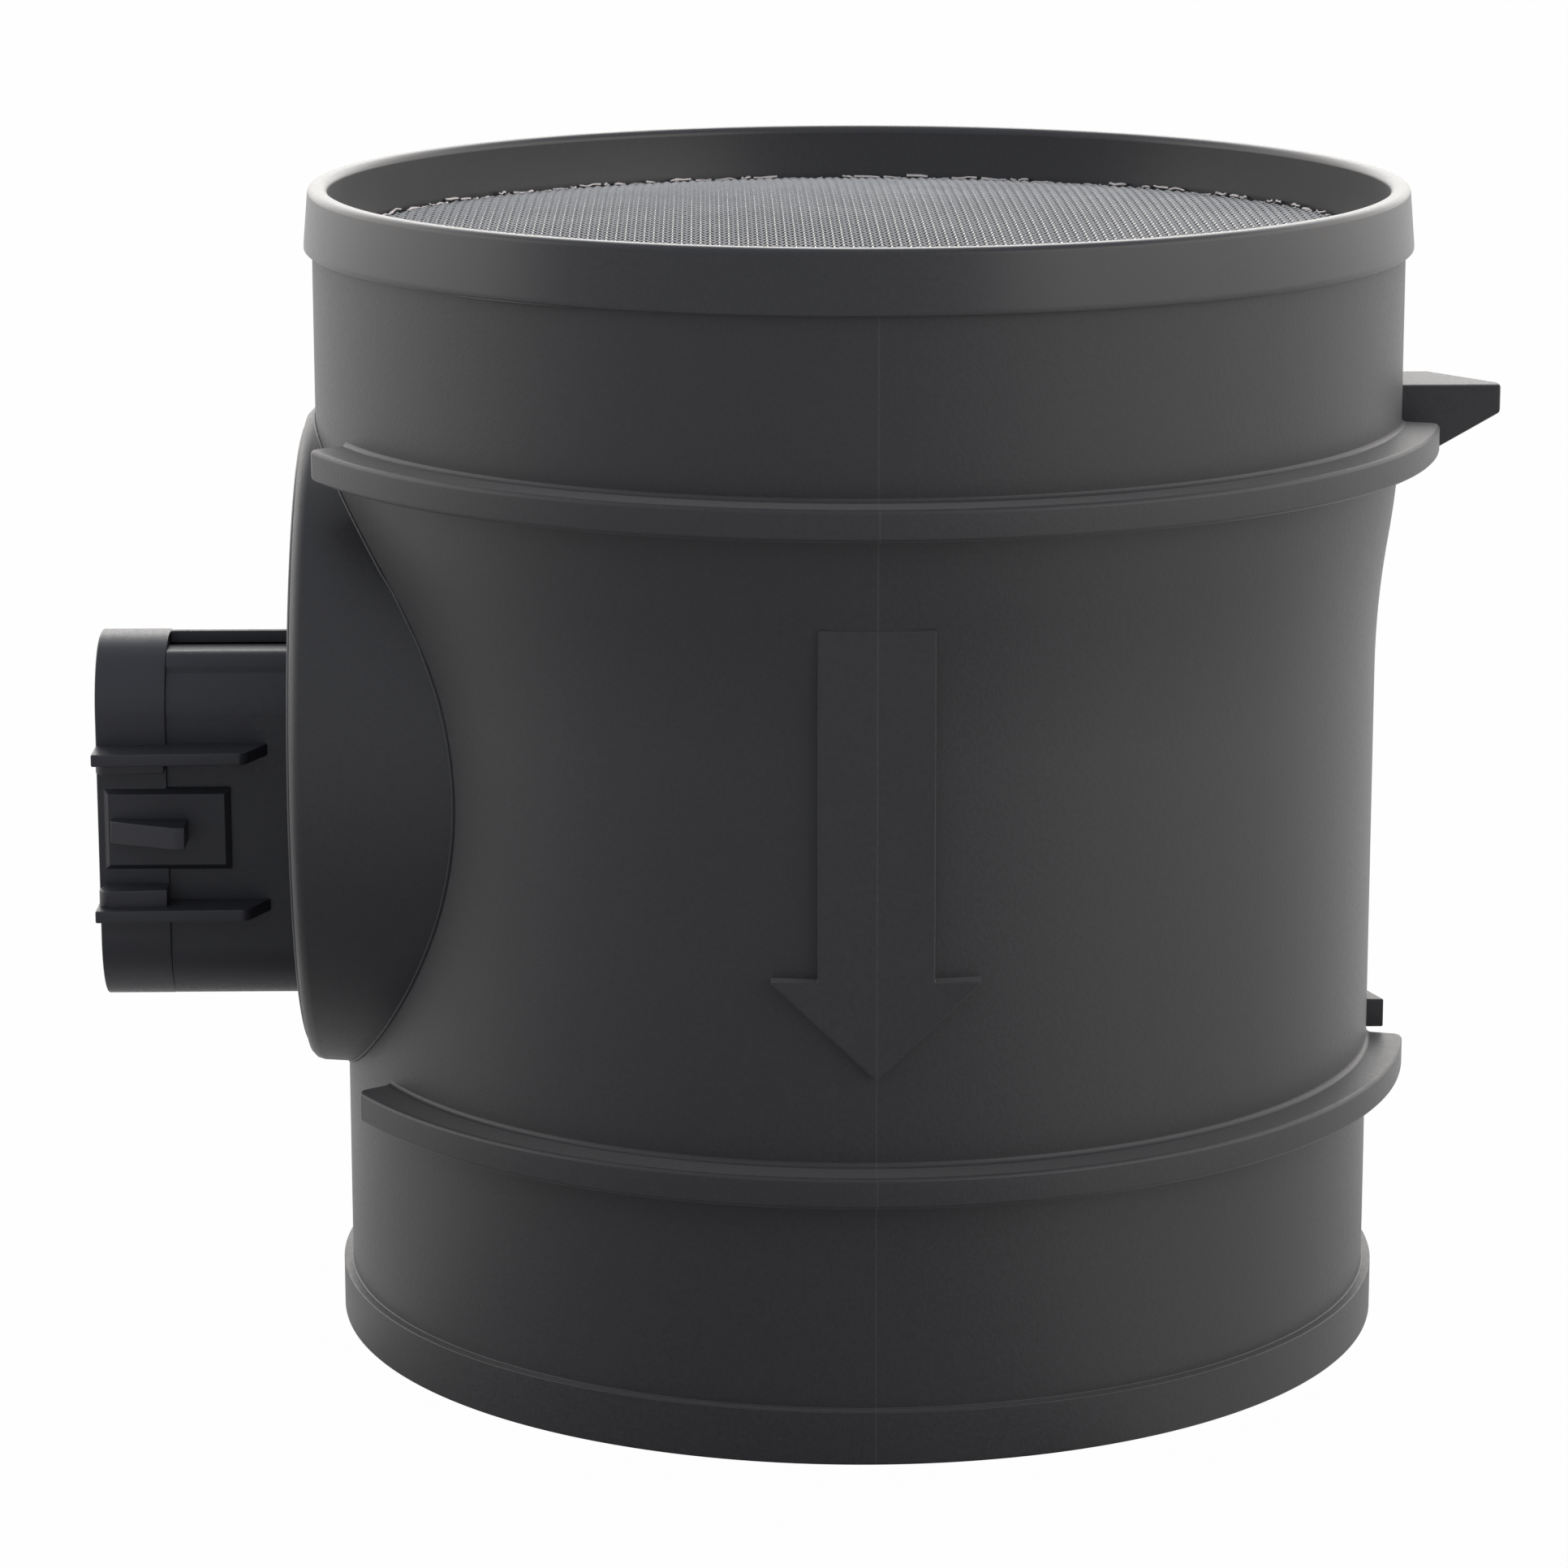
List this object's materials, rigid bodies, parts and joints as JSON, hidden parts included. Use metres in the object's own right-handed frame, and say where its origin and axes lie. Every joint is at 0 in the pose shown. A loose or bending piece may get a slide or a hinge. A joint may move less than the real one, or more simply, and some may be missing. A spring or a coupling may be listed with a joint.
{
  "type": "mass airflow sensor",
  "caption": "Round flow tube with an inlet screen, a side module bay, a latching connector shroud and a sensing probe across the bore; it meters the air drawn into an engine.",
  "frame": {"origin": "centre of the tube's outlet end face, on the tube's axis", "axes": "+Z along the tube's axis from the outlet to the screened inlet; -Y is the side with the raised flow arrow; -X is the way the connector points"},
  "size_m": [0.1294, 0.1046, 0.1065],
  "materials": {
    "tube": "fine matte texture, moulded",
    "screen": "bright drawn wire",
    "cover": "satin, moulded",
    "seal": "matte",
    "terminals": "tinned",
    "board": "satin solder mask",
    "chips": "matte moulded package",
    "capacitors": "ceramic",
    "resistors": "coated ceramic",
    "probe": "smooth, moulded",
    "pins": "drawn",
    "elements": "glazed ceramic",
    "bead": "dipped glossy coat"
  },
  "bodies": {
    "root": {"flow_tube": "tube", "inlet_screen": "screen", "module_cover": "cover", "cover_seal": "seal", "terminal_1": "terminals", "terminal_2": "terminals", "terminal_3": "terminals", "terminal_4": "terminals", "terminal_5": "terminals", "circuit_board": "board", "control_chip": "chips", "regulator_chip": "chips", "filter_capacitor_1": "capacitors", "filter_capacitor_2": "capacitors", "filter_capacitor_3": "capacitors", "bridge_resistor_1": "resistors", "bridge_resistor_2": "resistors", "probe_body": "probe", "probe_seal": "seal", "hot_pins": "pins", "cold_pins": "pins", "hot_element": "elements", "cold_element": "elements", "air_temperature_bead": "bead"}
  },
  "joints": []
}
